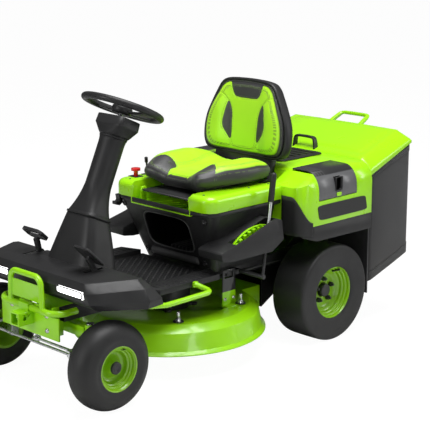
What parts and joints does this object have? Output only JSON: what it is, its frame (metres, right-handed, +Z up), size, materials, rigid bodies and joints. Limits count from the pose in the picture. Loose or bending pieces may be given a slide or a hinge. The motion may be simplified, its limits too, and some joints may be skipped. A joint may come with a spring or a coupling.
{
  "type": "riding lawn mower",
  "caption": "Compact battery riding lawn mower with a round mower deck, pivoting front axle, rear grass collector and tip-forward seat.",
  "frame": {"origin": "on the ground below the middle of the overall length and width", "axes": "+X to the machine's left side, +Y to the rear, +Z up"},
  "size_m": [0.868, 1.928, 1.0883],
  "materials": {
    "lime_body": "smooth moulded gloss",
    "lime_paint": "gloss powder coat",
    "black_plastic": "fine moulded grain",
    "grey_plastic": "satin moulded",
    "black_steel": "satin powder coat",
    "steel": "zinc plated",
    "rubber_tyre": "smooth tyre rubber",
    "seat_vinyl": "grained vinyl with stitched seams",
    "red_knob": "gloss",
    "lamp_lens": "white lens",
    "battery": "moulded case",
    "aluminium_case": "cast",
    "bag_cloth": "coated woven polyester"
  },
  "bodies": {
    "chassis": {"main_frame": "black_steel", "front_channel": "lime_paint", "hitch_receiver": "lime_paint", "front_bumper": "lime_paint", "nose_cowl": "black_plastic", "headlamps": "lamp_lens", "pedestal": "black_plastic", "column_cover": "black_plastic", "steering_head": "black_plastic", "footboard": "black_plastic", "guard_bars": "lime_paint", "console_shell": "black_plastic", "lever_quadrant": "lime_paint", "top_cover": "lime_body", "fender_skirts": "black_plastic", "badge_plates": "black_plastic", "battery_packs": "battery", "rear_vent": "black_plastic", "rear_plate": "black_steel", "discharge_chute": "black_plastic", "wheel_motors": "black_steel", "controller": "aluminium_case"},
    "axle": {"front_axle": "lime_paint"},
    "steering_column": {"steering_wheel": "black_plastic", "steering_shaft": "steel"},
    "pinion": {"pinion_shaft": "steel"},
    "sector": {"steering_sector": "steel"},
    "stub_axle_left": {"knuckle_left": "steel"},
    "stub_axle_right": {"knuckle_right": "steel"},
    "tie_link": {"tie_rod": "steel"},
    "drag_link": {"drag_rod": "steel"},
    "front_wheel_left": {"front_tyre_left": "rubber_tyre", "front_rim_left": "lime_paint"},
    "front_wheel_right": {"front_tyre_right": "rubber_tyre", "front_rim_right": "lime_paint"},
    "rear_wheel_left": {"rear_tyre_left": "rubber_tyre", "rear_rim_left": "lime_paint", "drive_shaft_left": "black_steel"},
    "rear_wheel_right": {"rear_tyre_right": "rubber_tyre", "rear_rim_right": "lime_paint", "drive_shaft_right": "black_steel"},
    "seat": {"seat_frame": "black_steel", "seat_cushion": "seat_vinyl", "backrest_shell": "black_plastic", "backrest_cushion": "seat_vinyl"},
    "deck": {"mower_deck": "lime_paint", "deck_motor": "black_steel"},
    "blade_rotor": {"blade": "steel"},
    "height_lever": {"lift_shaft": "steel", "lever_grip": "black_plastic"},
    "drive_pedal_arm": {"drive_pedal": "black_steel"},
    "brake_pedal_arm": {"brake_pedal": "black_steel"},
    "blade_switch": {"pto_knob": "red_knob"},
    "direction_lever": {"travel_lever": "black_plastic"},
    "cover_left": {"battery_cover_left": "grey_plastic"},
    "cover_right": {"battery_cover_right": "grey_plastic"},
    "latch_left": {"cover_latch_left": "lime_body"},
    "latch_right": {"cover_latch_right": "lime_body"},
    "collector": {"bag_lid": "lime_body", "grass_bag": "bag_cloth"}
  },
  "joints": [
    {"name": "axle_rock", "type": "hinge", "parent": "chassis", "child": "axle", "pos_m": [0, -0.8, 0.267], "axis": [0, 1, 0], "range_deg": [-3.5, 3.5]},
    {"name": "steering_turn", "type": "hinge", "parent": "chassis", "child": "steering_column", "pos_m": [0, -0.71, 0.391], "axis": [0, 0.4115, 0.9114], "range_deg": [-108, 108]},
    {"name": "pinion_turn", "type": "hinge", "parent": "chassis", "child": "pinion", "pos_m": [0, -0.71, 0.391], "axis": [0, 0, 1], "range_deg": [-108, 108]},
    {"name": "sector_turn", "type": "hinge", "parent": "chassis", "child": "sector", "pos_m": [0, -0.8, 0.226], "axis": [0, 0, 1], "range_deg": [-27, 27]},
    {"name": "kingpin_left", "type": "hinge", "parent": "axle", "child": "stub_axle_left", "pos_m": [0.235, -0.8, 0.2], "axis": [0, 0, 1], "range_deg": [-27, 27]},
    {"name": "kingpin_right", "type": "hinge", "parent": "axle", "child": "stub_axle_right", "pos_m": [-0.235, -0.8, 0.2], "axis": [0, 0, 1], "range_deg": [-27, 27]},
    {"name": "tie_rod_swivel", "type": "hinge", "parent": "stub_axle_left", "child": "tie_link", "pos_m": [0.235, -0.894, 0.203], "axis": [0, 0, 1], "range_deg": [-27, 27]},
    {"name": "drag_rod_swivel", "type": "hinge", "parent": "stub_axle_left", "child": "drag_link", "pos_m": [0.235, -0.864, 0.203], "axis": [0, 0, 1], "range_deg": [-27, 27]},
    {"name": "front_wheel_spin_left", "type": "hinge", "parent": "stub_axle_left", "child": "front_wheel_left", "pos_m": [0.333, -0.8, 0.165], "axis": [1, 0, 0], "continuous": true},
    {"name": "rear_wheel_spin_left", "type": "hinge", "parent": "chassis", "child": "rear_wheel_left", "pos_m": [0.3155, 0.36, 0.203], "axis": [1, 0, 0], "continuous": true},
    {"name": "front_wheel_spin_right", "type": "hinge", "parent": "stub_axle_right", "child": "front_wheel_right", "pos_m": [-0.333, -0.8, 0.165], "axis": [1, 0, 0], "continuous": true},
    {"name": "rear_wheel_spin_right", "type": "hinge", "parent": "chassis", "child": "rear_wheel_right", "pos_m": [-0.3155, 0.36, 0.203], "axis": [1, 0, 0], "continuous": true},
    {"name": "seat_tip", "type": "hinge", "parent": "chassis", "child": "seat", "pos_m": [0, -0.206, 0.641], "axis": [1, 0, 0], "range_deg": [0, 55]},
    {"name": "deck_height", "type": "slide", "parent": "chassis", "child": "deck", "axis": [0, 0, 1], "range_m": [-0.064, 0]},
    {"name": "lever_swing", "type": "hinge", "parent": "chassis", "child": "height_lever", "pos_m": [0.33, -0.001, 0.33], "axis": [1, 0, 0], "range_deg": [0, 45]},
    {"name": "blade_spin", "type": "hinge", "parent": "deck", "child": "blade_rotor", "pos_m": [0, -0.2, 0.12], "axis": [0, 0, 1], "continuous": true},
    {"name": "drive_pedal_press", "type": "hinge", "parent": "chassis", "child": "drive_pedal_arm", "pos_m": [-0.188, -0.682, 0.402], "axis": [1, 0, 0], "range_deg": [0, 10], "stiffness_Nm_per_rad": 6, "springref_deg": -17.19},
    {"name": "brake_pedal_press", "type": "hinge", "parent": "chassis", "child": "brake_pedal_arm", "pos_m": [0.166, -0.682, 0.402], "axis": [1, 0, 0], "range_deg": [0, 10], "stiffness_Nm_per_rad": 6, "springref_deg": -17.19},
    {"name": "blade_switch_pull", "type": "slide", "parent": "chassis", "child": "blade_switch", "axis": [0, 0, 1], "range_m": [0, 0.012]},
    {"name": "direction_lever_swing", "type": "hinge", "parent": "chassis", "child": "direction_lever", "pos_m": [-0.25, -0.086, 0.682], "axis": [1, 0, 0], "range_deg": [-14, 14]},
    {"name": "battery_cover_left_open", "type": "hinge", "parent": "chassis", "child": "cover_left", "pos_m": [0.256, 0.363, 0.722], "axis": [0, -1, 0], "range_deg": [0, 75]},
    {"name": "battery_cover_right_open", "type": "hinge", "parent": "chassis", "child": "cover_right", "pos_m": [-0.256, 0.363, 0.722], "axis": [0, 1, 0], "range_deg": [0, 75]},
    {"name": "latch_left_slide", "type": "slide", "parent": "cover_left", "child": "latch_left", "axis": [0, 0, 1], "range_m": [0, 0.005], "stiffness_N_per_m": 60, "springref_m": -0.004},
    {"name": "latch_right_slide", "type": "slide", "parent": "cover_right", "child": "latch_right", "axis": [0, 0, 1], "range_m": [0, 0.005], "stiffness_N_per_m": 60, "springref_m": -0.004},
    {"name": "collector_tip", "type": "hinge", "parent": "chassis", "child": "collector", "pos_m": [0, 0.59, 0.713], "axis": [1, 0, 0], "range_deg": [0, 75]}
  ],
  "couplings": [
    {"joint": "pinion_turn", "follows": "steering_turn", "ratio": 1},
    {"joint": "sector_turn", "follows": "steering_turn", "ratio": -0.25},
    {"joint": "kingpin_left", "follows": "steering_turn", "ratio": -0.25},
    {"joint": "kingpin_right", "follows": "steering_turn", "ratio": -0.25},
    {"joint": "tie_rod_swivel", "follows": "steering_turn", "ratio": 0.25},
    {"joint": "drag_rod_swivel", "follows": "steering_turn", "ratio": 0.25},
    {"joint": "lever_swing", "follows": "deck_height", "rad_per_m": -12.272}
  ]
}
